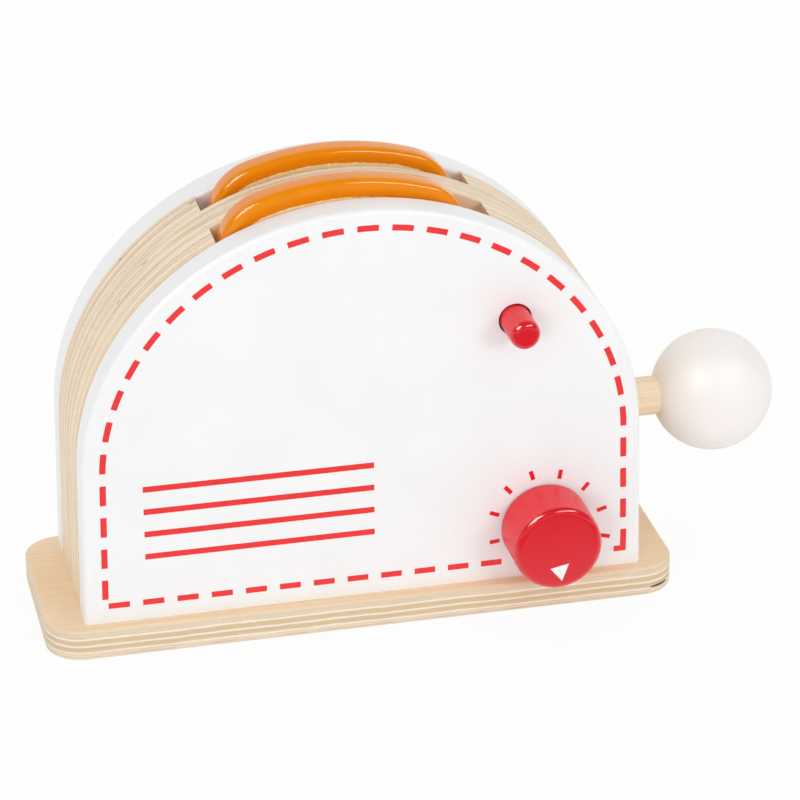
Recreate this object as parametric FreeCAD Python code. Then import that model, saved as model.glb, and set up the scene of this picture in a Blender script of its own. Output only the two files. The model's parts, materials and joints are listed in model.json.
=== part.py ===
"""Wooden toy toaster: D-shaped laminated body on a plywood board, two slices that a sprung side lever lifts.

Millimetres. X runs to the lever side, Y to the rear, Z up. The origin is the centre of the board's underside.
Each function returns one sub-part in its place, and the list at the end writes one STEP file for each.
"""
import FreeCAD, Part
import math
import os

V = FreeCAD.Vector
X_AXIS = V(1, 0, 0)
Y_AXIS = V(0, 1, 0)
Z_AXIS = V(0, 0, 1)
overcut = 1.0                  # how far a cutting solid runs past the face it opens
tiny = 0.001                   # lengths under this count as nought

# Body: five boards glued face to face, all with one outline
body_width = 180.0
side_height = 49.0             # straight side below the arch
foot_flare = 1.0               # how far each side leans out from the arch down to its foot
arch_rise = 83.0
panel_thickness = 12.0
front_slot_thickness = 10.5
divider_thickness = 15.0
rear_slot_thickness = 12.5
panel_edge_radius = 1.6

# Base board and the ledge it leaves round the body
board_thickness = 10.0
side_ledge = 13.0
front_ledge = 4.5
rear_ledge = 1.5
board_corner_radius = 12.0
board_edge_radius = 0.8

# Toast slots and slices
toast_width = 79.2
slot_play = 7.3                # slot wider than the slice
slot_offset = -0.5             # slot centre from the body's centre
toast_height = 88.2
toast_thickness = 9.0
toast_crown_radius = 88.0      # of the long arc along the top
toast_corner_radius = 18.0
toast_foot_radius = 5.0
toast_edge_radius = 2.2
front_toast_shift = -2.9       # the slices sit a little off centre in their slots
rear_toast_shift = -0.8
toast_gap = 0.2                # between a slice's foot and the pegs that carry it

# Lever: dowel, ball and the two pegs through the dowel
rod_diameter = 12.8
lever_height = 45.0            # rod axis above the board when up
lever_travel = 30.0
channel_clearance = 0.65       # over and under the rod at the ends of its travel
rod_end_margin = 6.35          # rod past the left guide rod
rod_end_clearance = 2.5
ball_diameter = 40.0
ball_board_gap = 0.2           # ball to the board's end, seen from above
ball_hole_depth = 14.0
glue_gap = 0.03                # radial, between glued round pieces
peg_diameter = 8.0
peg_spacing = 40.0
peg_end_gap = 0.75             # peg end to the panel beside it
peg_slot_clearance = 2.5       # peg to the slot's floor at the bottom

# Guide rods and lift springs
guide_diameter = 4.0
guide_spacing = 68.0
guide_running_gap = 0.08
guide_board_depth = 6.0
guide_top_depth = 8.0
spring_wire = 0.9
spring_inner_gap = 0.5         # radial, between spring and guide rod
spring_turns = 8.0
spring_seat_gap = 0.4
spring_seat_depth = 1.9        # flat seat up into the rod's underside

# Push button
button_diameter = 9.7
button_height = 90.9           # axis above the board
button_stand_out = 14.2
button_tip_radius = 2.6
button_hole_gap = 0.55
button_travel = 4.5
button_front_wall = 4.5        # panel left in front of the clip's recess
button_stop_gap = 0.1          # spigot to the divider when fully pressed
button_spigot_diameter = 6.0
clip_diameter = 13.8
clip_thickness = 1.0
clip_gap = 0.3
clip_recess_gap = 0.5
button_spring_wire = 0.7
button_spring_turns = 6.0
button_spring_inner_gap = 0.33 # radial, between spring and spigot
button_spring_bore_gap = 0.4
button_web = 1.2               # wood between the toast slot and the spring's bore

# Dial knob
knob_diameter = 28.8
knob_thickness = 18.2
knob_front_radius = 2.4
knob_back_radius = 0.5
knob_web = 6.35                # wood between the toast slot and the pocket behind the knob
knob_board_gap = 3.55
felt_diameter = 20.0
felt_thickness = 0.5
axle_diameter = 8.0
axle_running_gap = 0.08
axle_knob_depth = 8.0
axle_end_gap = 0.3             # axle past the panel's back, so the washer doesn't clamp it
knob_washer_diameter = 15.0
knob_washer_thickness = 1.2
knob_screw_diameter = 3.0
knob_screw_length = 12.0
knob_screw_head_diameter = 6.0
knob_screw_head_height = 2.2
knob_pocket_gap = 2.0          # round the washer

# Hidden dowels between the layers
dowel_diameter = 6.0
dowel_panel_depth = 7.0
dowel_end_gap = 0.5
upper_dowel_margin = 24.0      # dowel axis to the body's side
upper_dowel_height = 80.0
lower_dowel_margin = 16.0
lower_dowel_web = 2.6          # wood between the lever channel and the lower dowels

# Screws up through the board
screw_diameter = 3.5
screw_head_diameter = 7.0
screw_head_height = 2.4
screw_length = 20.0
screw_point_length = 3.0
screw_recess = 0.4
screw_side_margin = 14.0       # screw axis to the body's side

# Places worked out from the sizes above
body_half = body_width / 2
core_thickness = front_slot_thickness + divider_thickness + rear_slot_thickness
body_depth = 2 * panel_thickness + core_thickness
board_length = body_width + 2 * side_ledge
board_depth = body_depth + front_ledge + rear_ledge
board_top = board_thickness
spring_line = board_top + side_height
body_front = -board_depth / 2 + front_ledge
core_front = body_front + panel_thickness
divider_front = core_front + front_slot_thickness
divider_rear = divider_front + divider_thickness
core_rear = divider_rear + rear_slot_thickness
body_rear = core_rear + panel_thickness
slot_width = toast_width + slot_play
slot_left = slot_offset - slot_width / 2
slot_right = slot_offset + slot_width / 2

rod_radius = rod_diameter / 2
peg_radius = peg_diameter / 2
lever_y = (divider_front + divider_rear) / 2
lever_z = board_top + lever_height
low_lever_z = lever_z - lever_travel
channel_floor = low_lever_z - rod_radius - channel_clearance
channel_ceiling = lever_z + rod_radius + channel_clearance
rod_left = -guide_spacing / 2 - rod_end_margin
window_left = rod_left - rod_end_clearance
slot_floor = low_lever_z - peg_radius - peg_slot_clearance
toast_foot = lever_z + peg_radius + toast_gap
ball_x = board_length / 2 + ball_board_gap + ball_diameter / 2
rod_right = ball_x - ball_diameter / 2 + ball_hole_depth

guide_radius = guide_diameter / 2
spring_radius = guide_radius + spring_inner_gap + spring_wire / 2
spring_seat_radius = spring_radius + spring_wire / 2 + spring_seat_gap
spring_seat_z = lever_z - rod_radius + spring_seat_depth

button_radius = button_diameter / 2
button_spring_radius = button_spigot_diameter / 2 + button_spring_inner_gap + button_spring_wire / 2
button_bore_radius = button_spring_radius + button_spring_wire / 2 + button_spring_bore_gap
button_x = slot_right + button_web + button_bore_radius
button_z = board_top + button_height
button_shoulder = body_front + button_front_wall + clip_gap
button_spigot_end = divider_front - button_stop_gap - button_travel
clip_recess_radius = clip_diameter / 2 + clip_recess_gap

knob_radius = knob_diameter / 2
knob_pocket_radius = knob_washer_diameter / 2 + knob_pocket_gap
knob_x = slot_right + knob_web + knob_pocket_radius
knob_z = board_top + knob_board_gap + knob_radius
knob_back = body_front - felt_thickness
knob_front = knob_back - knob_thickness
axle_end = core_front + axle_end_gap

screw_x = body_half - screw_side_margin
screw_ys = (body_front + panel_thickness / 2, body_rear - panel_thickness / 2)
upper_dowel_x = body_half - upper_dowel_margin
lower_dowel_x = body_half - lower_dowel_margin
dowel_places = (
    (-upper_dowel_x, board_top + upper_dowel_height),
    (upper_dowel_x, board_top + upper_dowel_height),
    (-lower_dowel_x, channel_ceiling + lower_dowel_web + dowel_diameter / 2),
    (lower_dowel_x, channel_ceiling + lower_dowel_web + dowel_diameter / 2),
)


def block(x0, y0, z0, x1, y1, z1):
    """A box between two corners."""
    return Part.makeBox(x1 - x0, y1 - y0, z1 - z0, V(x0, y0, z0))


def rod_x(radius, x0, x1, y, z):
    """A cylinder along X."""
    return Part.makeCylinder(radius, x1 - x0, V(x0, y, z), X_AXIS)


def rod_y(radius, x, y0, y1, z):
    """A cylinder along Y."""
    return Part.makeCylinder(radius, y1 - y0, V(x, y0, z), Y_AXIS)


def rod_z(radius, x, y, z0, z1):
    """A cylinder along Z."""
    return Part.makeCylinder(radius, z1 - z0, V(x, y, z0), Z_AXIS)


def ring_y(outer, inner, x, y0, y1, z):
    """A washer whose axis is along Y."""
    return rod_y(outer, x, y0, y1, z).cut(rod_y(inner, x, y0 - overcut, y1 + overcut, z))


def arch_board(y0, y1):
    """A board with the body's outline: flat foot, sides that lean out a little, and a half-ellipse arch."""
    left_foot = V(-body_half - foot_flare, y0, board_top)
    right_foot = V(body_half + foot_flare, y0, board_top)
    left_spring = V(-body_half, y0, spring_line)
    right_spring = V(body_half, y0, spring_line)
    centre = V(0, y0, spring_line)
    crown = V(0, y0, spring_line + arch_rise)
    if body_half > arch_rise:
        ellipse = Part.Ellipse(right_spring, crown, centre)
    else:
        ellipse = Part.Ellipse(crown, left_spring, centre)
    first, middle, last = (ellipse.parameter(p) for p in (right_spring, crown, left_spring))
    turn = 2 * math.pi
    if (middle - first) % turn > math.pi:
        first, last = last, first
    if last < first:
        last += turn
    arch = Part.ArcOfEllipse(ellipse, first, last).toShape()
    edges = [
        Part.LineSegment(left_foot, right_foot).toShape(),
        Part.LineSegment(right_foot, right_spring).toShape(),
        arch,
        Part.LineSegment(left_spring, left_foot).toShape(),
    ]
    outline = Part.Wire(Part.__sortEdges__(edges))
    return Part.Face(outline).extrude(V(0, y1 - y0, 0))


def rounded_arch_board(y0, y1):
    """The body's outline with both edges eased over the sides and arch, but not along the foot."""
    board = arch_board(y0, y1)
    eased = []
    for edge in board.Edges:
        box = edge.BoundBox
        flat = box.YLength < tiny
        foot = box.ZMax < board_top + tiny
        if flat and not foot:
            eased.append(edge)
    return board.makeFillet(panel_edge_radius, eased)


def lamination_holes(y0, y1):
    """The four dowel holes through one layer."""
    radius = dowel_diameter / 2 + glue_gap
    holes = [rod_y(radius, x, y0, y1, z) for x, z in dowel_places]
    return Part.makeCompound(holes)


def screw_shape(x, y, gap=0.0):
    """A countersunk wood screw driven up through the board, or its hole when gap is given."""
    head_low = screw_recess - gap
    head_high = screw_recess + screw_head_height
    tip = screw_recess + screw_length
    shank = screw_diameter / 2 + gap
    profile = [
        V(0, 0, head_low),
        V(screw_head_diameter / 2 + gap, 0, head_low),
        V(shank, 0, head_high),
        V(shank, 0, tip - screw_point_length + gap),
        V(0, 0, tip + gap),
        V(0, 0, head_low),
    ]
    face = Part.Face(Part.makePolygon(profile))
    screw = face.revolve(V(0, 0, 0), Z_AXIS, 360)
    screw.translate(V(x, y, 0))
    return screw


def screw_places():
    """The four places where screws hold the board to the panels."""
    return [(x, y) for x in (-screw_x, screw_x) for y in screw_ys]


def screw_holes():
    """Holes for the four screws, open at the board's underside."""
    holes = []
    for x, y in screw_places():
        hole = screw_shape(x, y, glue_gap)
        mouth = rod_z(screw_head_diameter / 2 + glue_gap, x, y, -overcut, screw_recess)
        holes.append(hole.fuse(mouth))
    return Part.makeCompound(holes)


def guide_places():
    """X of the two guide rods."""
    return (-guide_spacing / 2, guide_spacing / 2)


def peg_places():
    """X of the two lift pegs."""
    return (-peg_spacing / 2, peg_spacing / 2)


def base_board():
    """The plywood foot, with rounded corners, eased edges, screw holes and guide rod holes."""
    board = block(-board_length / 2, -board_depth / 2, 0, board_length / 2, board_depth / 2, board_top)
    uprights = [e for e in board.Edges if e.BoundBox.ZLength > board_top / 2]
    board = board.makeFillet(board_corner_radius, uprights)
    rims = [e for e in board.Edges if e.BoundBox.ZLength < tiny]
    board = board.makeFillet(board_edge_radius, rims)
    low = board_top - guide_board_depth
    high = board_top + overcut
    for x in guide_places():
        board = board.cut(rod_z(guide_radius + glue_gap, x, lever_y, low, high))
    return board.cut(screw_holes())


def front_panel():
    """The white front: the button's hole and clip recess, the knob's axle hole, and blind holes behind."""
    panel = rounded_arch_board(body_front, core_front)
    past = body_front - overcut
    back = core_front + overcut
    panel = panel.cut(rod_y(button_radius + button_hole_gap, button_x, past, back, button_z))
    recess_floor = body_front + button_front_wall
    panel = panel.cut(rod_y(clip_recess_radius, button_x, recess_floor, back, button_z))
    panel = panel.cut(rod_y(axle_diameter / 2 + axle_running_gap, knob_x, past, back, knob_z))
    panel = panel.cut(lamination_holes(core_front - dowel_panel_depth, back))
    return panel.cut(screw_holes())


def rear_panel():
    """The white back, with the dowels' blind holes inside."""
    panel = rounded_arch_board(core_rear, body_rear)
    panel = panel.cut(lamination_holes(core_rear - overcut, core_rear + dowel_panel_depth))
    return panel.cut(screw_holes())


def slot_cut(y0, y1):
    """The space for one slice: straight down from above the arch to the slot's floor."""
    top = spring_line + arch_rise + overcut
    return block(slot_left, y0 - overcut, slot_floor, slot_right, y1 + overcut, top)


def front_slot_layer():
    """The U-shaped layer round the front slice, with the button spring's bore and the knob's pocket."""
    layer = arch_board(core_front, divider_front).cut(slot_cut(core_front, divider_front))
    front = core_front - overcut
    rear = divider_front + overcut
    layer = layer.cut(rod_y(button_bore_radius, button_x, front, rear, button_z))
    layer = layer.cut(rod_y(knob_pocket_radius, knob_x, front, rear, knob_z))
    return layer.cut(lamination_holes(front, rear))


def divider_board():
    """The layer between the slots, C-shaped: a window for the lever rod, open at the lever's side."""
    board = arch_board(divider_front, divider_rear)
    front = divider_front - overcut
    rear = divider_rear + overcut
    low = board_top - overcut
    side = body_half + foot_flare + overcut
    board = board.cut(block(window_left, front, channel_floor, side, rear, channel_ceiling))
    for x in guide_places():
        hole = rod_z(guide_radius + glue_gap, x, lever_y, low, channel_ceiling + guide_top_depth)
        spring_bore = rod_z(spring_seat_radius, x, lever_y, low, channel_floor + overcut)
        board = board.cut(hole).cut(spring_bore)
    return board.cut(lamination_holes(front, rear))


def rear_slot_layer():
    """The U-shaped layer round the rear slice."""
    layer = arch_board(divider_rear, core_rear).cut(slot_cut(divider_rear, core_rear))
    return layer.cut(lamination_holes(divider_rear - overcut, core_rear + overcut))


def lamination_dowels():
    """Four hidden dowels that line up the layers."""
    reach = dowel_panel_depth - dowel_end_gap
    dowels = [rod_y(dowel_diameter / 2, x, core_front - reach, core_rear + reach, z) for x, z in dowel_places]
    return Part.makeCompound(dowels)


def base_screws():
    """Four countersunk wood screws."""
    return Part.makeCompound([screw_shape(x, y) for x, y in screw_places()])


def guide_rods():
    """Two upright steel rods that keep the lever level."""
    low = board_top - guide_board_depth
    high = channel_ceiling + guide_top_depth
    return Part.makeCompound([rod_z(guide_radius, x, lever_y, low, high) for x in guide_places()])


def lever_rod():
    """The lever's dowel, bored for the guide rods and pegs, with a flat seat over each spring."""
    rod = rod_x(rod_radius, rod_left, rod_right, lever_y, lever_z)
    low = lever_z - rod_diameter
    high = lever_z + rod_diameter
    front = lever_y - rod_diameter
    rear = lever_y + rod_diameter
    for x in guide_places():
        bore = rod_z(guide_radius + guide_running_gap, x, lever_y, low, high)
        seat = rod_z(spring_seat_radius, x, lever_y, low, spring_seat_z)
        rod = rod.cut(bore).cut(seat)
    for x in peg_places():
        rod = rod.cut(rod_y(peg_radius + glue_gap, x, front, rear, lever_z))
    return rod


def lever_ball():
    """The turned ball, with a blind hole that the rod is glued into."""
    ball = Part.makeSphere(ball_diameter / 2, V(ball_x, lever_y, lever_z))
    hole = rod_x(rod_radius + glue_gap, ball_x - ball_diameter, rod_right + glue_gap, lever_y, lever_z)
    return ball.cut(hole)


def lift_pegs():
    """Two dowels across the rod that reach under both slices."""
    low = core_front + peg_end_gap
    high = core_rear - peg_end_gap
    return Part.makeCompound([rod_y(peg_radius, x, low, high, lever_z) for x in peg_places()])


def coil(radius, wire, turns, length):
    """A compression spring standing on the origin along Z, made of half turns of wire set end to end."""
    half_turns = max(1, round(2 * turns))
    rise = (length - wire) / half_turns
    along_wire = V(0, math.pi * radius, rise)
    section = Part.Wire(Part.makeCircle(wire / 2, V(radius, 0, 0), along_wire))
    helix = Part.makeHelix(2 * rise, rise, radius)
    first = Part.Wire(helix).makePipeShell([section], True, True)
    first.translate(V(0, 0, wire / 2))
    others = []
    for k in range(1, half_turns):
        next_one = first.copy()
        next_one.rotate(V(0, 0, 0), Z_AXIS, 180 * k)
        next_one.translate(V(0, 0, rise * k))
        others.append(next_one)
    return first.fuse(others)


def lift_spring(x):
    """One lift spring, from the board up to its seat in the rod."""
    spring = coil(spring_radius, spring_wire, spring_turns, spring_seat_z - board_top)
    spring.translate(V(x, lever_y, board_top))
    return spring


def toast_slice(y0, shift):
    """A slice: straight sides, and a top of one long arc between two shoulder arcs, eased round both faces.

    The long arc and a shoulder arc touch on the line through their centres, so the top has no corner."""
    half = toast_width / 2
    foot = toast_foot
    top = foot + toast_height
    corner = toast_corner_radius
    low = toast_foot_radius
    slant = math.sqrt(0.5)
    crown_z = top - toast_crown_radius
    across = half - corner
    between = toast_crown_radius - corner
    rise = math.sqrt(between * between - across * across)
    shoulder_z = crown_z + rise
    reach = toast_crown_radius / between
    bend = math.atan2(rise, across) / 2
    points = {
        "foot_left": V(-half + low, y0, foot),
        "foot_right": V(half - low, y0, foot),
        "toe_right": V(half - low + low * slant, y0, foot + low - low * slant),
        "right_low": V(half, y0, foot + low),
        "right_high": V(half, y0, shoulder_z),
        "bend_right": V(across + corner * math.cos(bend), y0, shoulder_z + corner * math.sin(bend)),
        "crown_right": V(across * reach, y0, crown_z + rise * reach),
        "crown": V(0, y0, top),
    }
    for name in ("toe", "bend", "crown"):
        right = points[name + "_right"]
        points[name + "_left"] = V(-right.x, y0, right.z)
    p = points
    left_high = V(-half, y0, shoulder_z)
    left_low = V(-half, y0, foot + low)
    edges = [
        Part.LineSegment(p["foot_left"], p["foot_right"]),
        Part.Arc(p["foot_right"], p["toe_right"], p["right_low"]),
        Part.LineSegment(p["right_low"], p["right_high"]),
        Part.Arc(p["right_high"], p["bend_right"], p["crown_right"]),
        Part.Arc(p["crown_right"], p["crown"], p["crown_left"]),
        Part.Arc(p["crown_left"], p["bend_left"], left_high),
        Part.LineSegment(left_high, left_low),
        Part.Arc(left_low, p["toe_left"], p["foot_left"]),
    ]
    outline = Part.Wire([e.toShape() for e in edges])
    slice_body = Part.Face(outline).extrude(V(0, toast_thickness, 0))
    rims = [e for e in slice_body.Edges if e.BoundBox.YLength < tiny]
    slice_body = slice_body.makeFillet(toast_edge_radius, rims)
    slice_body.translate(V(shift, 0, 0))
    return slice_body


def toast_front():
    """The front slice, midway in its slot."""
    spare = front_slot_thickness - toast_thickness
    return toast_slice(core_front + spare / 2, front_toast_shift)


def toast_rear():
    """The rear slice, midway in its slot."""
    spare = rear_slot_thickness - toast_thickness
    return toast_slice(divider_rear + spare / 2, rear_toast_shift)


def push_button():
    """The red dowel button: domed tip, and a spigot for the clip and spring that stops on the divider."""
    tip = body_front - button_stand_out
    stem = rod_y(button_radius, button_x, tip, button_shoulder, button_z)
    rim = [e for e in stem.Edges if e.BoundBox.YMax < tip + tiny]
    stem = stem.makeFillet(button_tip_radius, rim)
    spigot_start = button_shoulder - overcut
    spigot = rod_y(button_spigot_diameter / 2, button_x, spigot_start, button_spigot_end, button_z)
    return stem.fuse(spigot).removeSplitter()


def button_clip():
    """The push-on steel washer that holds the button behind the panel."""
    inner = button_spigot_diameter / 2 + glue_gap
    rear = button_shoulder + clip_thickness
    return ring_y(clip_diameter / 2, inner, button_x, button_shoulder, rear, button_z)


def button_spring():
    """The spring between the clip and the divider."""
    start = button_shoulder + clip_thickness
    spring = coil(button_spring_radius, button_spring_wire, button_spring_turns, divider_front - start)
    spring.rotate(V(0, 0, 0), X_AXIS, -90)
    spring.translate(V(button_x, start, button_z))
    return spring


def dial_knob():
    """The turned knob, rounded in front, with a blind hole behind for its axle."""
    knob = rod_y(knob_radius, knob_x, knob_front, knob_back, knob_z)
    front_rim = [e for e in knob.Edges if e.BoundBox.YMax < knob_front + tiny]
    knob = knob.makeFillet(knob_front_radius, front_rim)
    back_rim = [e for e in knob.Edges if e.BoundBox.YMin > knob_back - tiny]
    knob = knob.makeFillet(knob_back_radius, back_rim)
    hole_radius = axle_diameter / 2 + glue_gap
    return knob.cut(rod_y(hole_radius, knob_x, knob_back - axle_knob_depth, knob_back + overcut, knob_z))


def knob_felt():
    """The felt washer that gives the knob its drag."""
    inner = axle_diameter / 2 + glue_gap
    return ring_y(felt_diameter / 2, inner, knob_x, knob_back, body_front, knob_z)


def knob_axle():
    """The dowel that turns in the panel, with a pilot hole for the screw."""
    axle = rod_y(axle_diameter / 2, knob_x, knob_back - axle_knob_depth, axle_end, knob_z)
    radius = knob_screw_diameter / 2 + glue_gap
    pilot = rod_y(radius, knob_x, axle_end - knob_screw_length, axle_end + overcut, knob_z)
    return axle.cut(pilot)


def knob_washer():
    """The steel washer behind the panel."""
    inner = knob_screw_diameter / 2 + glue_gap
    rear = axle_end + knob_washer_thickness
    return ring_y(knob_washer_diameter / 2, inner, knob_x, axle_end, rear, knob_z)


def knob_screw():
    """The pan-head screw into the axle's end."""
    under_head = axle_end + knob_washer_thickness
    head_end = under_head + knob_screw_head_height
    shank = rod_y(knob_screw_diameter / 2, knob_x, axle_end - knob_screw_length, under_head, knob_z)
    head = rod_y(knob_screw_head_diameter / 2, knob_x, under_head, head_end, knob_z)
    return shank.fuse(head).removeSplitter()


parts = {
    "base_board": base_board(),
    "front_panel": front_panel(),
    "front_slot_layer": front_slot_layer(),
    "divider_board": divider_board(),
    "rear_slot_layer": rear_slot_layer(),
    "rear_panel": rear_panel(),
    "lamination_dowels": lamination_dowels(),
    "base_screws": base_screws(),
    "guide_rods": guide_rods(),
    "lever_rod": lever_rod(),
    "lever_ball": lever_ball(),
    "lift_pegs": lift_pegs(),
    "lift_spring_left": lift_spring(guide_places()[0]),
    "lift_spring_right": lift_spring(guide_places()[1]),
    "toast_front": toast_front(),
    "toast_rear": toast_rear(),
    "push_button": push_button(),
    "button_clip": button_clip(),
    "button_spring": button_spring(),
    "dial_knob": dial_knob(),
    "knob_felt": knob_felt(),
    "knob_axle": knob_axle(),
    "knob_washer": knob_washer(),
    "knob_screw": knob_screw(),
}

os.makedirs("parts", exist_ok=True)
for name, shape in parts.items():
    shape.exportStep(f"parts/{name}.step")
    box = shape.BoundBox
    low = (round(box.XMin, 2), round(box.YMin, 2), round(box.ZMin, 2))
    high = (round(box.XMax, 2), round(box.YMax, 2), round(box.ZMax, 2))
    print(name, len(shape.Solids), shape.isValid(), round(shape.Volume, 1), low, high)
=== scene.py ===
"""A wooden toy toaster in its finishes: plywood, white and red lacquer, turned beech and painted toast.

Metres. X runs to the lever's side, Y to the rear and Z up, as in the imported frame. The sections follow the
toy as it is put together.
"""

import bpy
import json
import math
import numpy as np
from mathutils import Matrix, Vector


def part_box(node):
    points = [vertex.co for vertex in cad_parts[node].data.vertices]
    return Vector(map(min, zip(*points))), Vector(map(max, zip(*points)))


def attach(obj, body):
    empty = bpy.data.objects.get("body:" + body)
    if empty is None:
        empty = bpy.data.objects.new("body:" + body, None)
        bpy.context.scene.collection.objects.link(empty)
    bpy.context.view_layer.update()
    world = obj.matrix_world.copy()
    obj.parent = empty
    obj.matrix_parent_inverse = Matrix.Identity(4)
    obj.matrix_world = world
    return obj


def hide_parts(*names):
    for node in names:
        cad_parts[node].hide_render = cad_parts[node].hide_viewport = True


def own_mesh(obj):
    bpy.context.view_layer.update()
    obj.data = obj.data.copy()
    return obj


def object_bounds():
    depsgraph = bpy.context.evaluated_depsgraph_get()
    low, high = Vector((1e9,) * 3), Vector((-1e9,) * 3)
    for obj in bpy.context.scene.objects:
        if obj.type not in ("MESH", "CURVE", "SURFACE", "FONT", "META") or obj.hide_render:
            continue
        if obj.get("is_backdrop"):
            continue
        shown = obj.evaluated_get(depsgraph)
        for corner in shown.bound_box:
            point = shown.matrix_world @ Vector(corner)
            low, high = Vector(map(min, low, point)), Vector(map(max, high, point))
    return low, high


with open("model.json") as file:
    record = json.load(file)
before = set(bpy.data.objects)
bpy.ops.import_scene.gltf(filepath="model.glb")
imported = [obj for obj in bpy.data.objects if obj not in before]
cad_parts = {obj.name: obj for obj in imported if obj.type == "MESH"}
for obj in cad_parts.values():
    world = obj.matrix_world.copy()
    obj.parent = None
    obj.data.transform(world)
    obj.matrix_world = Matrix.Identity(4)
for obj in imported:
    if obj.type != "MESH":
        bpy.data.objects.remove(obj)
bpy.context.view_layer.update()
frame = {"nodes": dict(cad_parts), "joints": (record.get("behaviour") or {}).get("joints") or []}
nodes = frame["nodes"]


# ---------------------------------------------------------------- camera
# A long lens, a little to the left of the toy's middle and looking down on it, so that upright edges
# stay nearly parallel and the board's top, the arch and both slices are all in sight.
mm = 0.001
aim = Vector((18.0, 0.0, 62.93)) * mm
distance = 1135.56 * mm
azimuth = math.radians(-12.881)
elevation = math.radians(25.301)
roll = math.radians(-0.354)
film_width = 36.0
focal_length = 158.466

level_right = Vector((math.cos(azimuth), math.sin(azimuth), 0))
away = Vector((
    math.sin(azimuth) * math.cos(elevation),
    -math.cos(azimuth) * math.cos(elevation),
    math.sin(elevation),
))
level_up = away.cross(level_right)
right = level_right * math.cos(roll) + level_up * math.sin(roll)
upward = level_up * math.cos(roll) - level_right * math.sin(roll)

camera_data = bpy.data.cameras.new("camera")
camera_data.sensor_width = film_width
camera_data.lens = focal_length
camera_data.clip_start = 0.05
camera = bpy.data.objects.new("camera", camera_data)
camera_turn = Matrix((right, upward, away)).transposed().to_4x4()
camera.matrix_world = Matrix.Translation(aim + away * distance) @ camera_turn
bpy.context.scene.collection.objects.link(camera)
bpy.context.scene.camera = camera
bpy.context.scene.view_settings.view_transform = "Standard"


# ---------------------------------------------------------------- table and lights
# A white table in a white room. Two weak softboxes light the matt surfaces, and two windows show only in
# the gloss, as the long highlights on paint and lacquer. The table is plain white with a faint shadow.
class Shade:
    """One socket of a material. Operators on it add Math nodes, and node() adds any other kind."""

    def __init__(self, tree, socket=None):
        self.tree = tree
        self.socket = socket

    def node(self, kind, settings=None, sockets=None, out=0):
        """A new node: its settings are made first, then each socket's value or link. Gives one output."""
        made = self.tree.nodes.new("ShaderNode" + kind)
        for name, value in (settings or {}).items():
            if name == "stops":
                elements = made.color_ramp.elements
                elements[0].position, elements[0].color = value[0]
                elements[1].position, elements[1].color = value[-1]
                for place, colour in value[1:-1]:
                    elements.new(place).color = colour
            else:
                setattr(made, name, value)
        for name, value in (sockets or {}).items():
            if isinstance(value, Shade):
                self.tree.links.new(value.socket, made.inputs[name])
            else:
                made.inputs[name].default_value = value
        return Shade(self.tree, made.outputs[out]) if made.outputs else None

    def maths(self, operation, *values):
        return self.node("Math", {"operation": operation}, dict(enumerate(values)))

    def __add__(self, other):
        return self.maths("ADD", self, other)

    def __sub__(self, other):
        return self.maths("SUBTRACT", self, other)

    def __rsub__(self, other):
        return self.maths("SUBTRACT", other, self)

    def __mul__(self, other):
        return self.maths("MULTIPLY", self, other)

    def __truediv__(self, other):
        return self.maths("DIVIDE", self, other)

    def __abs__(self):
        return self.maths("ABSOLUTE", self)

    __radd__ = __add__
    __rmul__ = __mul__

    def over(self, low, high):
        """0 below low and 1 above high, smooth between. With low above high it falls instead."""
        ends = {"From Min": low, "From Max": high}
        return self.node("MapRange", {"interpolation_type": "SMOOTHSTEP"}, {"Value": self, **ends})

    def mix(self, without, within):
        """One colour where this mask is 0 and the other where it is 1."""
        return self.node("Mix", {"data_type": "RGBA"}, {0: self, 6: without, 7: within}, out=2)


def colour(red, green, blue):
    """A colour as a screen shows it, each part 0 to 255, turned into Blender's linear values."""
    shown = [part / 255 for part in (red, green, blue)]
    linear = [s / 12.92 if s < 0.04045 else ((s + 0.055) / 1.055) ** 2.4 for s in shown]
    return (*linear, 1.0)


def new_finish(name):
    """An empty material, and the Shade that starts its nodes."""
    made = bpy.data.materials.new(name)
    made.use_nodes = True
    made.node_tree.nodes.clear()
    return made, Shade(made.node_tree)


def wear(piece, material):
    """Gives a piece, or a node of the frame, its finish."""
    if not piece.data.materials:
        piece.data.materials.append(material)
    for slot in piece.material_slots:
        slot.material = material


def add_piece(name, vertices, faces, smooth=True):
    """A mesh object at the origin from an array of points and a list or array of faces."""
    mesh = bpy.data.meshes.new(name)
    mesh.from_pydata(np.asarray(vertices).reshape(-1, 3).tolist(), [], [list(map(int, f)) for f in faces])
    mesh.validate()
    mesh.polygons.foreach_set("use_smooth", [smooth] * len(mesh.polygons))
    made = bpy.data.objects.new(name, mesh)
    bpy.context.scene.collection.objects.link(made)
    return made


def ray(start, kind):
    """1 for rays of one kind, such as those that the camera sends out, and else 0."""
    return Shade(start.tree, start.node("LightPath").socket.node.outputs[f"Is {kind} Ray"])


def parts_of(vector):
    """The X, Y and Z of a vector socket."""
    split = vector.node("SeparateXYZ", sockets={0: vector})
    return [Shade(vector.tree, split.socket.node.outputs[axis]) for axis in "XYZ"]


white = (1.0, 1.0, 1.0, 1.0)
black = (0.0, 0.0, 0.0, 1.0)
table_half = 4.0
table_top = -0.05 * mm
table_glow = 0.93
table_paint = (0.9, 0.9, 0.9, 1.0)
mirror_fade = (-0.04, -0.15)
mirror_loss = 0.93
table_signs = [(-1, -1), (1, -1), (1, 1), (-1, 1)]
table_corners = [(x * table_half, y * table_half, table_top) for x, y in table_signs]
table = add_piece("table", table_corners, [(0, 1, 2, 3)])
table_white, start = new_finish("table_white")

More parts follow.
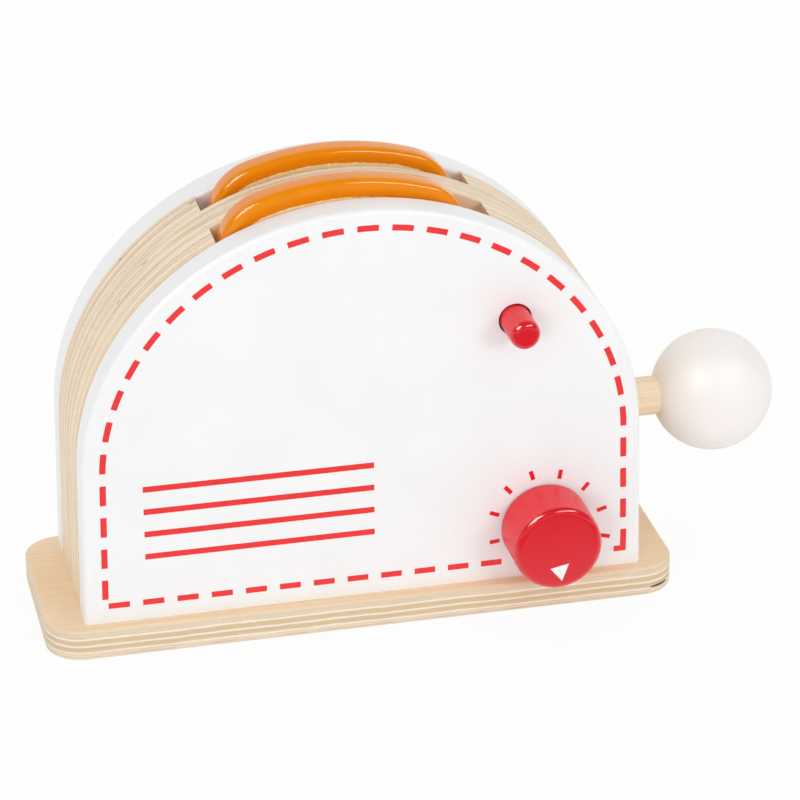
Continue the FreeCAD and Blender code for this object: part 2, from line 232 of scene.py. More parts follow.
# In gloss, the table is white close to the toy, and fades to dark further to the front.
in_gloss = ray(start, "Glossy")
to_front = parts_of(start.node("TexCoord", out="Object"))[1].over(*mirror_fade)
seen = start.maths("MAXIMUM", ray(start, "Camera"), in_gloss + ray(start, "Transmission"))
shine = 1 - mirror_loss * in_gloss * to_front
matt = start.node("BsdfDiffuse", sockets={"Color": table_paint})
glow = start.node("Emission", sockets={"Color": shine.mix(black, white), "Strength": 1.0})
surface = start.node("MixShader", sockets={0: seen * table_glow, 1: matt, 2: glow})
start.node("OutputMaterial", sockets={"Surface": surface})
wear(table, table_white)
table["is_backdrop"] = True

# The room is white in sight and lights matt surfaces a little more from the rear. In gloss, its front half
# is dark above the horizon.
room_light = 0.84
rear_light = 0.1
room_dark = 0.07
room = bpy.data.worlds.new("room")
room.use_nodes = True
room.node_tree.nodes.clear()
bpy.context.scene.world = room
start = Shade(room.node_tree)
to_rear, to_sky = parts_of(start.node("TexCoord"))[1:]
in_gloss = ray(start, "Glossy")
in_sight = ray(start, "Camera") + ray(start, "Transmission")
dark_front = to_rear.over(0.7, 0.1) * to_sky.over(-0.05, 0.35)
mirrored = in_gloss * (1 - (1 - room_dark) * dark_front)
lamp = (1 - in_gloss) * (1 - in_sight) * (room_light + rear_light * to_rear.over(-0.3, 0.3))
sky = start.node("Background", sockets={"Color": white, "Strength": mirrored + in_sight + lamp})
start.node("OutputWorld", sockets={"Surface": sky})

# Each light's name, its degrees to the right of straight in front, its degrees up, its size and watts, and
# whether only gloss shows it.
light_distance = 1.3
for name, to_right, up, size, watts, only_gloss in (
    ("left_softbox", -30.0, 12.0, (0.28, 0.28), 2.2, False),
    ("right_softbox", 27.0, 20.0, (0.28, 0.28), 2.2, False),
    ("left_window", -46.0, 42.0, (0.72, 0.6), 16.0, True),
    ("right_window", 41.0, 42.0, (1.0, 0.24), 7.6, True),
):
    light_data = bpy.data.lights.new(name, "AREA")
    light_data.shape = "RECTANGLE"
    light_data.size, light_data.size_y = size
    light_data.energy = watts
    side = math.radians(to_right)
    height = math.radians(up)
    out = Vector((math.sin(side) * math.cos(height), -math.cos(side) * math.cos(height), math.sin(height)))
    light = bpy.data.objects.new(name, light_data)
    light.location = aim + out * light_distance
    light.rotation_euler = out.to_track_quat("Z", "Y").to_euler()
    light.visible_glossy = only_gloss
    light.visible_diffuse = not only_gloss
    bpy.context.scene.collection.objects.link(light)


# ---------------------------------------------------------------- base board
# A birch plywood board with rounded corners and eased edges. Its edge shows the plies, by turns along and
# across the grain, and its top is one long-grained veneer under thin clear lacquer.
veneer_light = colour(245, 219, 183)
veneer_dark = colour(235, 204, 165)
# voids are real gaps in the plies, drawn flat: their dark brown is painted shade inside the hollows
void_shade_brown = colour(104, 66, 40)


def lumps(axis, across, along):
    """Lumps a metre on X, Y and Z: one number along the given axis, and another on the two across it."""
    return [along if k == axis else across for k in range(3)]


def noise(start, vector, scale, detail=3.0, roughness=0.55):
    """A cloudy value about one half. The scale is lumps a metre: one number, or one for each axis."""
    if isinstance(scale, float):
        scale = [scale] * 3
    stretched = start.node("Mapping", sockets={"Vector": vector, "Scale": scale})
    sockets = {"Vector": stretched, "Scale": 1.0, "Detail": detail, "Roughness": roughness}
    return start.node("TexNoise", {"noise_dimensions": "3D"}, sockets)


def spot(start, vector, centre, size):
    """A mask that is 1 inside an ellipsoid about a centre, with a soft rim."""
    offset = start.node("VectorMath", {"operation": "SUBTRACT"}, {0: vector, 1: centre})
    scaled = start.node("VectorMath", {"operation": "DIVIDE"}, {0: offset, 1: size})
    length = start.node("VectorMath", {"operation": "LENGTH"}, {0: scaled}, out="Value")
    return length.over(1.1, 0.75)


def ply_ramps(start, place, low, high, plies, line_half):
    """Bands across a board's thickness: a ramp of the plies' tones, and one of the glue lines' strengths.

    Each ply is its share of the thickness, its tone, and the strength of the line at its far side."""
    total = sum(share for share, tone, strength in plies)
    rim = line_half / (high - low)
    tones, lines = [], [(0.0, black)]
    at = 0.0
    for share, tone, strength in plies:
        end = at + share / total
        tones += [(min(at + rim, 1.0), tone), (max(end - rim, 0.0), tone)]
        if end < 1.0 - rim:
            lines += [(end - rim, black), (end, (strength, strength, strength, 1.0)), (end + rim, black)]
        at = end
    lines.append((1.0, black))
    share_of = (place - low) / (high - low)
    bands = start.node("ValToRGB", {"stops": tones}, {0: share_of})
    glue = start.node("ValToRGB", {"stops": lines}, {0: share_of})
    return bands, glue


def finish(start, surface):
    """Ends a material: a principled shader with these values and links on its sockets."""
    shader = start.node("BsdfPrincipled", sockets=surface)
    start.node("OutputMaterial", sockets={"Surface": shader})


def plywood(name, across, low, high, plies, line, voids=(), line_half=0.22 * mm, vein=0.25):
    """Bare plywood under thin lacquer, its plies stacked along one axis between two places.

    Bands across the thickness show on the edges, and veneer with its grain along X on the two faces. The
    glue lines waver and come and go, streaks and dark veins run along the bands, and cut fibres speckle
    them."""
    made, start = new_finish(name)
    place = start.node("TexCoord", out="Object")
    normal = start.node("TexCoord", out="Normal")
    axis = "XYZ".index(across)
    depth = parts_of(place)[axis]
    facing = abs(parts_of(normal)[axis]).over(0.6, 0.85)
    waver = noise(start, place, 30.0, 2.0) - 0.5
    ripple = noise(start, place, 160.0, 2.0) - 0.5
    shifted = depth + waver * (0.9 * mm) + ripple * (0.35 * mm)
    bands, glue = ply_ramps(start, shifted, low, high, plies, line_half)
    broken = noise(start, place, 110.0, 3.0).over(0.34, 0.56) * 0.75 + 0.25
    streaks = noise(start, place, lumps(axis, 70.0, 2600.0), 4.0, 0.7)
    pores = noise(start, place, lumps(axis, 1500.0, 700.0), 3.0, 0.7)
    veins = noise(start, place, lumps(axis, 14.0, 1500.0), 3.0, 0.5)
    edge = (streaks.over(0.46, 0.25) * (0.1 + 0.45 * vein)).mix(bands, line)
    edge = (veins.over(0.58, 0.68) * vein).mix(edge, line)
    edge = (pores.over(0.45, 0.28) * 0.35).mix(edge, line)
    edge = (glue * broken).mix(edge, line)
    long_grain = noise(start, place, lumps(0, 700.0, 22.0), 5.0, 0.6)
    cloud = noise(start, place, lumps(0, 60.0, 9.0), 2.0)
    veneer = long_grain.over(0.3, 0.7).mix(veneer_dark, veneer_light)
    veneer = (cloud.over(0.3, 0.75) * 0.5).mix(veneer, veneer_light)
    skin = facing.mix(edge, veneer)
    # each void is a real gap, not cut into the surface; its dark brown spot is painted shade of the hollow
    for centre, size in voids:
        skin = spot(start, place, centre, size).mix(skin, void_shade_brown)
    height = streaks * 0.5 + pores * 0.5
    relief = start.node("Bump", sockets={"Height": height, "Distance": 0.05 * mm, "Strength": 0.6})
    finish(start, {"Base Color": skin, "Roughness": 0.42 + 0.25 * pores, "Normal": relief, "IOR": 1.45})
    return made


board_low, board_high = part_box("base_board")
cream = colour(232, 215, 190)
pale = colour(242, 233, 215)
tan = colour(216, 191, 154)
dusk = colour(226, 208, 180)
board_line = colour(190, 160, 122)
board_plies = (
    (1.0, cream, 0.8),
    (0.9, cream, 0.6),
    (0.9, pale, 0.4),
    (1.5, tan, 0.35),
    (0.8, pale, 0.3),
    (1.6, tan, 0.35),
    (0.9, pale, 0.6),
    (1.2, dusk, 0.3),
    (1.2, dusk, 0.0),
)
board_void_centre = (97.0 * mm, board_low.y + 1.8 * mm, 2.6 * mm)
board_void_size = (4.4 * mm, 4.0 * mm, 0.5 * mm)
board_voids = [(board_void_centre, board_void_size)]
board_wood = plywood("board_plywood", "Z", board_low.z, board_high.z, board_plies, board_line, board_voids)
wear(nodes["base_board"], board_wood)


# ---------------------------------------------------------------- base screws
# Four countersunk wood screws, zinc plated. They are driven up through the board into both panels and hold
# the body on it.
def darkened(tone, share):
    """A tone with its red, green and blue cut to a share of what they were."""
    return (*(share * part for part in tone[:3]), 1.0)


def steel(name, tone, roughness):
    """Plated steel: metal with a fine brushed unevenness."""
    made, start = new_finish(name)
    place = start.node("TexCoord", out="Object")
    drawn = noise(start, place, lumps(2, 900.0, 2500.0), 4.0, 0.6)
    relief = start.node("Bump", sockets={"Height": drawn, "Distance": 0.01 * mm})
    shade = drawn.over(0.2, 0.8).mix(darkened(tone, 0.8), tone)
    finish(start, {
        "Base Color": shade,
        "Metallic": 1.0,
        "Roughness": roughness + 0.15 * drawn,
        "Normal": relief,
    })
    return made


zinc = steel("zinc_plate", colour(208, 211, 216), 0.22)
wear(nodes["base_screws"], zinc)


# ---------------------------------------------------------------- front and rear panels
# Two D-shaped boards that close the body in front and behind, sprayed with satin white lacquer all over.
# The spray leaves a very fine orange peel.
def lacquer(name, tone, roughness, peel=0.004 * mm, gloss=0.5, coat=0.0, side=None):
    """Sprayed lacquer: an even colour with faint clouds and a fine orange peel.

    Peel is the height of its ripples, gloss how strongly it mirrors, and coat how much clear lacquer lies
    on top. A turned piece may have a side tone and a roughness without clear lacquer, which take over away
    from the faces that look along Y. The side tone is set lighter as a painted sheen: the room's light seen
    in the turned side."""
    made, start = new_finish(name)
    place = start.node("TexCoord", out="Object")
    clouds = noise(start, place, 35.0, 2.0)
    ripple = noise(start, place, 650.0, 2.0)
    relief = start.node("Bump", sockets={"Height": ripple, "Distance": peel})
    dullness = roughness - 0.03 + 0.06 * clouds
    coloured = clouds.over(0.3, 0.7).mix(darkened(tone, 0.975), tone)
    if side:
        side_sheen_tone, side_roughness = side
        to_side = abs(parts_of(start.node("TexCoord", out="Normal"))[1]).over(0.25, 0.05)
        dullness = dullness + to_side * (side_roughness - roughness)
        # the sides' lighter tone is painted sheen, the room's light on a turned side put into the colour;
        # their roughness and thinner coat are real
        coloured = to_side.mix(coloured, side_sheen_tone)
        coat = (1 - to_side) * coat
    finish(start, {
        "Base Color": coloured,
        "Roughness": dullness,
        "Normal": relief,
        "Specular IOR Level": gloss,
        "Coat Weight": coat,
        "Coat Roughness": 0.15,
    })
    return made


panel_white = lacquer("panel_white_lacquer", colour(242, 242, 242), 0.42)
wear(nodes["front_panel"], panel_white)
wear(nodes["rear_panel"], panel_white)


# ---------------------------------------------------------------- print on the front panel
# One screen print in red ink: a dashed line inside the panel's outline, four lines on the left, and a ring
# of ticks round the knob. Each stroke is a thin film on the lacquer.
panel_low, panel_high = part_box("front_panel")
ink_film = 0.03 * mm
ink_front = panel_low.y - ink_film
ink_back = panel_low.y + 2 * ink_film


def strokes(lines, width):
    """Ink strokes from centre lines, an array of (stroke, point, X and Z).

    Each point is carried half the width to both sides, along the sum of its two segments' normals divided
    by one plus their cosine, which mitres a bend. Four points make a ring there, two in front and two
    behind."""
    lines = np.asarray(lines, float)
    run = np.diff(lines, axis=1)
    run /= np.linalg.norm(run, axis=2, keepdims=True)
    normal = np.stack([-run[..., 1], run[..., 0]], axis=-1)
    before = np.concatenate([normal[:, :1], normal], axis=1)
    after = np.concatenate([normal, normal[:, -1:]], axis=1)
    side = (before + after) / (1 + (before * after).sum(axis=2, keepdims=True)) * width / 2
    left, right_side = lines + side, lines - side
    ring = [(left, ink_front), (right_side, ink_front), (right_side, ink_back), (left, ink_back)]
    points = np.stack([np.insert(flat, 1, y, axis=2) for flat, y in ring], axis=2)
    count, along = lines.shape[:2]
    index = np.arange(count * along * 4).reshape(count, along, 4)
    turned = np.roll(index, -1, axis=2)
    walls = np.stack([index[:, :-1], index[:, 1:], turned[:, 1:], turned[:, :-1]], axis=-1).reshape(-1, 4)
    caps = np.concatenate([index[:, 0], index[:, -1, ::-1]])
    return points.reshape(-1, 3), np.concatenate([walls, caps])


def join(*pieces):
    """Several sets of points and faces as one."""
    points = np.concatenate([p for p, f in pieces])
    starts = np.cumsum([0] + [len(p) for p, f in pieces[:-1]])
    return points, np.concatenate([f + first for (p, f), first in zip(pieces, starts)])


dash_pitch = 11.0 * mm
dash_length = 6.8 * mm
dash_width = 2.0 * mm
dash_points = 9
side_margin = 6.3 * mm
foot_margin = 5.95 * mm
crown_margin = 5.75 * mm
straight_height = 49.0 * mm
dash_lean = 0.8 * mm
dash_foot_half = panel_high.x - side_margin
dash_half = dash_foot_half - dash_lean
dash_foot = panel_low.z + foot_margin
dash_spring = panel_low.z + straight_height
dash_rise = panel_high.z - dash_spring - crown_margin
first_dash = 0.32 * dash_pitch
first_foot_dash = 0.395 * dash_pitch
corner_leg = 3.15 * mm
corner_rise = 6.9 * mm

# The dashes follow a path by its length: from the foot's right corner up to the arch, over it, and down to
# the left corner. The arch's X is the half width times the cosine of the turn, and its Z is the top of the
# straight sides plus the rise times the sine. The foot's row is spaced by itself, and one bent stroke makes
# the right corner.
arch_points = 2000
turn = np.linspace(0, math.pi, arch_points)
arch = np.stack([dash_half * np.cos(turn), dash_spring + dash_rise * np.sin(turn)], axis=1)
outline = np.concatenate([[(dash_foot_half, dash_foot)], arch, [(-dash_foot_half, dash_foot)]])
travelled = np.concatenate([[0], np.cumsum(np.linalg.norm(np.diff(outline, axis=0), axis=1))])
dash_steps = np.linspace(-dash_length / 2, dash_length / 2, dash_points)
centres = np.arange(first_dash + dash_pitch, travelled[-1] - dash_length / 2, dash_pitch)
places = centres[:, None] + dash_steps
dashes = np.stack([np.interp(places, travelled, outline[:, axis]) for axis in (0, 1)], axis=2)
foot_end = 2 * dash_foot_half - corner_leg - dash_length / 2
foot_centres = np.arange(first_foot_dash, foot_end, dash_pitch)
foot_places = foot_centres[:, None] + dash_steps - dash_foot_half
foot_dashes = np.stack([foot_places, np.full_like(foot_places, dash_foot)], axis=2)
corner = np.array([[
    (dash_foot_half - corner_leg, dash_foot),
    (dash_foot_half, dash_foot),
    (dash_foot_half, dash_foot + corner_rise),
]])
print_shift = np.array((0.45 * mm, 0.0))
outline_strokes = [strokes(path + print_shift, dash_width) for path in (dashes, foot_dashes, corner)]

line_left = -71.0 * mm
line_right = 2.75 * mm
lowest_line = 32.0 * mm
line_pitch = 7.83 * mm
line_heights = [lowest_line + line_pitch * k for k in range(4)]
lines = [[(line_left, z), (line_right, z)] for z in line_heights]

# Eight ticks stand at even angles on a slightly oval, slanted ring round the knob. A ninth stands below
# them on the left, almost hidden by the knob. Each points away from the ring's middle.
tick_centre = np.array((60.35, 25.96)) * mm
tick_long, tick_short = 20.89 * mm, 17.95 * mm
tick_slant = math.radians(122.0)
tick_length = 3.3 * mm
tick_width = 1.4 * mm
tick_start, tick_step = 18.5, 28.7
tick_angles = np.radians(tick_start + tick_step * np.arange(-1, 7)) - tick_slant
tick_ring = np.stack([tick_long * np.cos(tick_angles), tick_short * np.sin(tick_angles)], axis=1)
slant_cos, slant_sin = math.cos(tick_slant), math.sin(tick_slant)
slant = np.array([[slant_cos, slant_sin], [-slant_sin, slant_cos]])
low_tick = np.array([(49.2, 18.2)]) * mm
tick_places = np.concatenate([tick_centre + tick_ring @ slant, low_tick])
tick_out = tick_places - tick_centre
tick_out /= np.linalg.norm(tick_out, axis=1, keepdims=True)
tick_reach = tick_length * np.array((-0.5, 0.5))
ticks = tick_places[:, None] + tick_out[:, None] * tick_reach[None, :, None]


def ink(name, tone):
    """Screen ink: a satin film, a little thinner in places."""
    made, start = new_finish(name)
    place = start.node("TexCoord", out="Object")
    film = noise(start, place, 500.0, 3.0)
    shade = film.over(0.25, 0.65).mix(darkened(tone, 0.9), tone)
    relief = start.node("Bump", sockets={"Height": film, "Distance": 0.004 * mm})
    finish(start, {"Base Color": shade, "Roughness": 0.4 + 0.1 * film, "Normal": relief})
    return made


bright_ink = ink("bright_red_ink", colour(242, 43, 44))
deep_ink = ink("deep_red_ink", colour(234, 0, 18))
for name, shape, material in (
    ("outline_print", join(*outline_strokes), bright_ink),
    ("line_print", strokes(lines, dash_width), bright_ink),
    ("dial_print", strokes(ticks, tick_width), deep_ink),
):
    printed = add_piece(name, *shape, smooth=False)
    wear(printed, material)
    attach(printed, "body")


# ---------------------------------------------------------------- slot layers and divider
# Three plywood boards between the panels, sawn to the same outline and sanded flush, so that the whole arch
# shows their plies. The two outer ones are U-shaped, for the slices, and the middle one holds the lever.
core_light = colour(245, 229, 202)
core_base = colour(239, 217, 186)
core_line = colour(164, 106, 62)
core_line_half = 0.19 * mm
core_vein = 0.6
front_plies = (
    (1.5, core_base, 0.8),
    (2.75, core_light, 0.75),
    (2.85, core_base, 0.45),
    (3.4, core_light, 0.0),
)
middle_plies = (
    (2.7, core_base, 0.4),
    (2.55, core_light, 1.0),
    (2.75, core_base, 1.0),
    (2.25, core_light, 0.8),
    (2.4, core_base, 0.5),
    (2.35, core_light, 0.0),
)
rear_plies = (
    (2.2, core_base, 0.5),
    (2.3, core_light, 0.5),
    (2.75, core_base, 0.8),
    (2.5, core_light, 0.8),
    (2.75, core_base, 0.0),
)
core_voids = (
    ((-44.9 * mm, 17.3 * mm, 130.9 * mm), (1.50 * mm, 0.30 * mm, 1.50 * mm)),
    ((-68.2 * mm, 18.8 * mm, 113.1 * mm), (0.45 * mm, 0.40 * mm, 0.45 * mm)),
    ((-63.0 * mm, 2.2 * mm, 118.3 * mm), (1.60 * mm, 0.22 * mm, 1.60 * mm)),
    ((-72.4 * mm, -3.1 * mm, 108.3 * mm), (1.20 * mm, 0.22 * mm, 1.20 * mm)),
)
for node, plies in (
    ("front_slot_layer", front_plies),
    ("divider_board", middle_plies),
    ("rear_slot_layer", rear_plies),
):
    low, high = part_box(node)
    name = node + "_plywood"
    layer_wood = plywood(name, "Y", low.y, high.y, plies, core_line, core_voids, core_line_half, core_vein)
    wear(nodes[node], layer_wood)


# ---------------------------------------------------------------- lamination dowels
# Four beech dowels through the three middle boards and into both panels. They line the boards up while the
# glue sets, and are hidden once the body is closed.
def turned_wood(name, along, light, dark):
    """Bare beech turned round: long grain along one axis, short dark flecks, and a dull sheen."""
    made, start = new_finish(name)
    place = start.node("TexCoord", out="Object")
    axis = "XYZ".index(along)
    grain = noise(start, place, lumps(axis, 900.0, 18.0), 4.0, 0.6)
    flecks = noise(start, place, lumps(axis, 1800.0, 260.0), 2.0)
    wood = grain.over(0.3, 0.7).mix(dark, light)
    wood = (flecks.over(0.36, 0.26) * 0.6).mix(wood, darkened(dark, 0.72))
    relief = start.node("Bump", sockets={"Height": grain + 0.5 * flecks, "Distance": 0.04 * mm})
    finish(start, {"Base Color": wood, "Roughness": 0.5 + 0.2 * grain, "Normal": relief})
    return made


beech_y = turned_wood("beech_along_y", "Y", colour(238, 214, 180), colour(220, 188, 150))
wear(nodes["lamination_dowels"], beech_y)


# ---------------------------------------------------------------- guide rods and lift springs
# Two upright steel rods keep the lever level, and a compression spring of drawn wire on each pushes it up.
# The end turns of a spring lie flat.
wear(nodes["guide_rods"], zinc)
spring_wire_steel = steel("spring_wire", colour(176, 179, 184), 0.28)


def spring(name, foot, axis, across, length, radius, wire, turns):
    """A compression spring of round wire.

    The wire's centre goes round the axis at a fixed radius. Over its first and last turn it climbs by about
    one wire, so that these turns lie flat, and over the others it climbs evenly. A circle is carried along
    it, square to the run, and a point closes each end."""
    around, along = 14, int(turns * 36)
    share = np.linspace(0, 1, along + 1)
    flat_turns = 0.9 / turns
    lay = 0.98 * wire / length
    climb = np.clip((share - flat_turns) / (1 - 2 * flat_turns), 0, 1)
    first_turn = np.clip(share / flat_turns, 0, 1)
    last_turn = np.clip((share - 1 + flat_turns) / flat_turns, 0, 1)
    height = wire / 2 + (length - wire) * (climb * (1 - 2 * lay) + lay * (first_turn + last_turn))
    angle = 2 * math.pi * turns * share
    axis = np.array(axis, float)
    across = np.array(across, float)
    third = np.cross(axis, across)
    out_way = np.cos(angle)[:, None] * across + np.sin(angle)[:, None] * third
    centre = np.array(foot) + out_way * radius + height[:, None] * axis
    run = np.gradient(centre, axis=0)
    run /= np.linalg.norm(run, axis=1, keepdims=True)
    upright = np.cross(run, out_way)
    clock = np.linspace(0, 2 * math.pi, around, endpoint=False)[None, :, None]
    section = np.cos(clock) * out_way[:, None] + np.sin(clock) * upright[:, None]
    tube = centre[:, None] + wire / 2 * section
    index = np.arange((along + 1) * around).reshape(along + 1, around)
    turned = np.roll(index, -1, axis=1)
    walls = np.stack([index[:-1], turned[:-1], turned[1:], index[1:]], axis=-1).reshape(-1, 4).tolist()
    first, last = index.size, index.size + 1
    caps = [[first, turned[0, k], index[0, k]] for k in range(around)]
    caps += [[last, index[-1, k], turned[-1, k]] for k in range(around)]
    points = np.concatenate([tube.reshape(-1, 3), centre[:1], centre[-1:]])
    made = add_piece(name, points, walls + caps)
    wear(made, spring_wire_steel)
    return made


def travel_of(name):
    """How far a sliding joint of the frame goes, from one limit to the other."""
    low, high = next(joint["range_m"] for joint in frame["joints"] if joint["name"] == name)
    return high - low


lift_wire = 0.9 * mm
lift_turns = 8
lift_travel = travel_of("lever_slide")
for side in ("left", "right"):
    node = "lift_spring_" + side
    low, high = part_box(node)
    middle = (low + high) / 2
    radius = (high.x - low.x - lift_wire) / 2
    length = high.z - low.z
    foot = (middle.x, middle.y, low.z)
    made = spring("wound_" + node, foot, (0, 0, 1), (1, 0, 0), length, radius, lift_wire, lift_turns)
    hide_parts(node)
    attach(made, "body")
    (length - lift_travel) / length
    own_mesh(made)


# ---------------------------------------------------------------- lever: rod, pegs and ball
# A beech dowel through the divider's window, with two pegs across it that carry the slices. A turned ball,
# lacquered white, is glued on its outer end.
wear(nodes["lever_rod"], turned_wood("beech_along_x", "X", colour(252, 232, 205), colour(240, 214, 180)))
wear(nodes["lift_pegs"], beech_y)
wear(nodes["lever_ball"], lacquer("ball_white_lacquer", colour(244, 239, 236), 0.45, 0.006 * mm))


# ---------------------------------------------------------------- toast slices
# Two slices of painted wood. The crust is glossy orange-brown over the edge and a rim of both faces, and
# the crumb is pale yellow inside that rim.
crust_orange = colour(234, 138, 0)
crust_dark = colour(228, 126, 0)
crumb_yellow = colour(252, 226, 158)
crumb_pale = colour(255, 238, 184)
front_rim, rear_rim = 5.7 * mm, 4.6 * mm
cm = 0.01
toast_corner = 18.0 * mm
toast_foot_corner = 5.0 * mm
toast_crown_radius = 88.0 * mm
toast_edge = 2.2 * mm


def toast_outline(low, high, inset, count):
    """Points round a slice: straight sides, small foot corners, and one long arc between two shoulder arcs.

    Everything is drawn in by the inset, so each arc's radius is less by it. The long arc and a shoulder arc
    touch on the line through their centres. The points are spread evenly by length."""
    middle = (low.x + high.x) / 2
    half = (high.x - low.x) / 2
    across = half - toast_corner
    between = toast_crown_radius - toast_corner
    crown_centre = high.z - toast_crown_radius
    shoulder_centre = crown_centre + math.sqrt(between ** 2 - across ** 2)
    meeting = math.acos(across / between)
    foot = np.linspace(-math.pi / 2, 0, 24)
    foot_x = half - toast_foot_corner + (toast_foot_corner - inset) * np.cos(foot)
    foot_z = low.z + toast_foot_corner + (toast_foot_corner - inset) * np.sin(foot)
    bend = np.linspace(0, meeting, 40)
    bend_x = across + (toast_corner - inset) * np.cos(bend)
    bend_z = shoulder_centre + (toast_corner - inset) * np.sin(bend)
    crown = np.linspace(meeting, math.pi / 2, 40)[1:]
    crown_x = (toast_crown_radius - inset) * np.cos(crown)
    crown_z = crown_centre + (toast_crown_radius - inset) * np.sin(crown)
    right_x = np.concatenate([foot_x, bend_x, crown_x])
    right_z = np.concatenate([foot_z, bend_z, crown_z])
    path_x = np.concatenate([right_x, -right_x[-2::-1], right_x[:1]])
    path_z = np.concatenate([right_z, right_z[-2::-1], right_z[:1]])
    path = np.stack([path_x, path_z], axis=1)
    length = np.concatenate([[0], np.cumsum(np.linalg.norm(np.diff(path, axis=0), axis=1))])
    even = np.linspace(0, length[-1], count, endpoint=False)
    spread = np.stack([np.interp(even, length, path[:, axis]) for axis in (0, 1)], axis=1)
    return spread + (middle, 0.0)


def toast_slice(name, node, crust_rim):
    """A slice as rings: a face drawn out from its middle, a quarter round, the edge, and back to the other.

    The rings of a face are the outline scaled about its middle. The UV map holds, in centimetres, how far
    each point is inside the crust's rim, and its place across the thickness."""
    low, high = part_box(node)
    count, face_rings, round_rings = 400, 44, 9
    face = toast_outline(low, high, toast_edge, count)
    middle = np.array(((low.x + high.x) / 2, (low.z + high.z) / 2))
    rings, depths, insets = [], [], []
    outer = toast_outline(low, high, 0.0, count)
    for share in np.linspace(0, 1, face_rings)[1:]:
        ring = middle + (face - middle) * share
        gap = np.linalg.norm(ring[:, None] - outer[None], axis=2).min(axis=1)
        rings.append(ring)
        depths.append(np.full(count, low.y))
        insets.append(gap)
    for bend in np.linspace(0, math.pi / 2, round_rings)[1:]:
        inset = toast_edge * (1 - math.sin(bend))
        rings.append(toast_outline(low, high, inset, count))
        depths.append(np.full(count, low.y + toast_edge * (1 - math.cos(bend))))
        insets.append(np.full(count, inset))
    across = low.y + high.y
    rings += rings[::-1]
    depths += [across - depth for depth in depths[::-1]]
    insets += insets[::-1]
    points = np.stack([np.array(rings)[..., 0], np.array(depths), np.array(rings)[..., 1]], axis=-1)
    total = len(rings)
    index = np.arange(total * count).reshape(total, count)
    turned = np.roll(index, -1, axis=1)
    walls = np.stack([index[:-1], index[1:], turned[1:], turned[:-1]], axis=-1).reshape(-1, 4).tolist()
    front_middle, back_middle = index.size, index.size + 1
    middle_inset = (high.x - low.x) / 2
    caps = [[front_middle, a, b] for a, b in zip(index[0], turned[0])]
    caps += [[back_middle, b, a] for a, b in zip(index[-1], turned[-1])]
    ends = [(middle[0], y, middle[1]) for y in (low.y, high.y)]
    points = np.concatenate([points.reshape(-1, 3), ends])
    made = add_piece(name, points, walls + caps)
    inset_all = np.concatenate([np.array(insets).ravel(), [middle_inset, middle_inset]])
    loops = np.empty(len(made.data.loops), int)
    made.data.loops.foreach_get("vertex_index", loops)
    rim = np.stack([inset_all[loops] - crust_rim, points[loops, 1]], axis=1) / cm
    made.data.uv_layers.new(name="rim").data.foreach_set("uv", rim.ravel())
    wear(made, toast_paint)
    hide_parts(node)
    return made


toast_paint, start = new_finish("toast_paint")
place = start.node("TexCoord", out="Object")
rim_map = start.node("UVMap", {"uv_map": "rim"})
inset = parts_of(rim_map)[0] * cm
cloud = noise(start, place, 120.0, 3.0)
fine = noise(start, place, 900.0, 3.0)
ragged = inset + (cloud - 0.5) * (1.2 * mm) + (fine - 0.5) * (0.5 * mm)
crumb = ragged.over(-0.2 * mm, 0.2 * mm)
crust = ragged.over(-4.2 * mm, 0.0).mix(crust_orange, crust_dark)
crust = (cloud.over(0.45, 0.75) * 0.5).mix(crust, crust_dark)
crumb_tone = fine.over(0.35, 0.65).mix(crumb_yellow, crumb_pale)
relief = start.node("Bump", sockets={"Height": fine * 0.3 + cloud * 0.6, "Distance": 0.04 * mm})

# The clear coat is thin on the faces and thicker on the rounded edge of the outline.
rounding = inset.over(-2.4 * mm, -3.4 * mm)
finish(start, {
    "Base Color": crumb.mix(crust, crumb_tone),
    "Roughness": 0.22 + 0.2 * crumb,
    "Normal": relief,
    "Specular IOR Level": 0.05,
    "Coat Weight": rounding * 0.55 + 0.12,
    "Coat Roughness": 0.04,
})

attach(toast_slice("painted_toast_front", "toast_front", front_rim), "front_slice")
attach(toast_slice("painted_toast_rear", "toast_rear", rear_rim), "rear_slice")


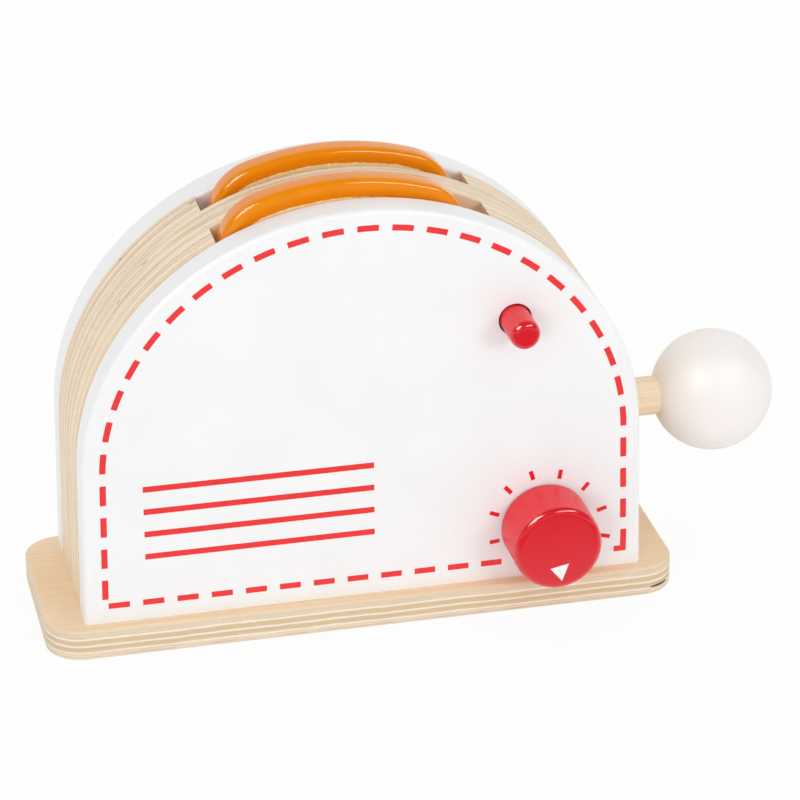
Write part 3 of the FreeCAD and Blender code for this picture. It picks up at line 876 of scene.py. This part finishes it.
# ---------------------------------------------------------------- push button, clip and spring
# A red lacquered dowel in a hole with clearance. A push-on steel washer keeps it in, and a short spring
# behind that pushes it back out.
red_front = colour(217, 14, 32)
# the sides' lighter red is painted sheen of the white room on the turned sides; their greater roughness is
# real
red_side_sheen = (colour(234, 44, 54), 0.34)
red_gloss = lacquer("red_gloss_lacquer", red_front, 0.16, 0.003 * mm, gloss=0.3, coat=0.9, side=red_side_sheen)
wear(nodes["push_button"], red_gloss)
wear(nodes["button_clip"], zinc)
button_wire = 0.7 * mm
button_turns = 6
button_travel = travel_of("button_press")
low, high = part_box("button_spring")
middle = (low + high) / 2
foot = (middle.x, high.y, middle.z)
length = high.y - low.y
radius = (high.x - low.x - button_wire) / 2
made = spring("wound_button_spring", foot, (0, -1, 0), (1, 0, 0), length, radius, button_wire, button_turns)
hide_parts("button_spring")
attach(made, "body")
(length - button_travel) / length
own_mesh(made)


# ---------------------------------------------------------------- dial knob, felt, axle, washer and screw
# A turned knob, lacquered red, with a white pointer printed near its rim. Its dowel axle turns in the panel
# against a felt washer, and a steel washer and screw hold it from behind.
wear(nodes["dial_knob"], red_gloss)
wear(nodes["knob_axle"], beech_y)
wear(nodes["knob_washer"], zinc)
wear(nodes["knob_screw"], zinc)

felt, start = new_finish("grey_felt")
place = start.node("TexCoord", out="Object")
fibres = noise(start, place, 2500.0, 5.0, 0.8)
greys = fibres.mix(colour(112, 112, 116), colour(176, 176, 180))
relief = start.node("Bump", sockets={"Height": fibres, "Distance": 0.15 * mm})
finish(start, {"Base Color": greys, "Roughness": 0.95, "Normal": relief})
wear(nodes["knob_felt"], felt)

knob_low, knob_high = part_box("dial_knob")
knob_middle = (knob_low + knob_high) / 2
pointer_corners = np.array([(-2.93, -6.47), (0.92, -11.21), (3.14, -5.25)]) * mm
flat = pointer_corners + np.array((knob_middle.x, knob_middle.z))
pointer_depths = (knob_low.y - ink_film, knob_low.y + ink_film)
pointer_points = np.concatenate([np.insert(flat, 1, y, axis=1) for y in pointer_depths])
pointer_faces = [(0, 1, 2), (5, 4, 3), (0, 3, 4, 1), (1, 4, 5, 2), (2, 5, 3, 0)]
pointer = add_piece("knob_pointer", pointer_points, pointer_faces, smooth=False)
wear(pointer, ink("white_ink", colour(248, 246, 244)))
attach(pointer, "dial")


# ---------------------------------------------------------------- size
# The finished toy's box.
low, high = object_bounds()
